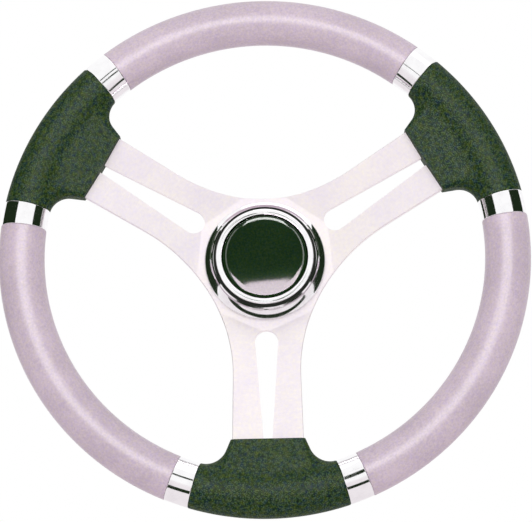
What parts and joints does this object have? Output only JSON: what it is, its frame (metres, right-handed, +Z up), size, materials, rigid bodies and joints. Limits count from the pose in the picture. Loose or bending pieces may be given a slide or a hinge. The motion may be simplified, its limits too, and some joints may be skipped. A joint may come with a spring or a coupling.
{
  "type": "boat steering wheel",
  "caption": "Three-spoke boat steering wheel: a grey and black moulded rim with bright collars on a pressed metal spoke plate, with a capped hub for a taper helm shaft.",
  "frame": {"origin": "centre of the hub boss's back face, on the wheel's axis, where the helm shaft enters", "axes": "+Y along the helm shaft away from the driver, so the driver looks along +Y at the wheel's front; +Z up through the top rim grip, with one spoke straight down; +X to the driver's right"},
  "size_m": [0.35, 0.068, 0.35],
  "materials": {
    "satin_plate": "pressed sheet, fine satin, nearly white",
    "core_steel": "bare rolled bar",
    "chrome": "bright plated",
    "grey_foam": "moulded skin, pinkish grey, fine grain, soft sheen",
    "black_foam": "moulded skin, greenish black, fine pebble grain",
    "cap_gloss": "polished greenish black",
    "hub_casting": "machined and bead blasted",
    "screw_steel": "zinc plated",
    "inner_plastic": "plain moulded"
  },
  "bodies": {
    "root": {"rim_core": "core_steel", "spoke_plate": "satin_plate", "hub_boss": "hub_casting", "hub_screws": "screw_steel", "cap_retainer": "inner_plastic", "hub_bezel": "chrome", "cap_ring": "chrome", "centre_cap": "cap_gloss", "spoke_grip_left": "black_foam", "spoke_grip_right": "black_foam", "spoke_grip_bottom": "black_foam", "rim_grip_top": "grey_foam", "rim_grip_lower_left": "grey_foam", "rim_grip_lower_right": "grey_foam", "collar_left_upper": "chrome", "collar_left_lower": "chrome", "collar_right_upper": "chrome", "collar_right_lower": "chrome", "collar_bottom_left": "chrome", "collar_bottom_right": "chrome"}
  },
  "joints": []
}
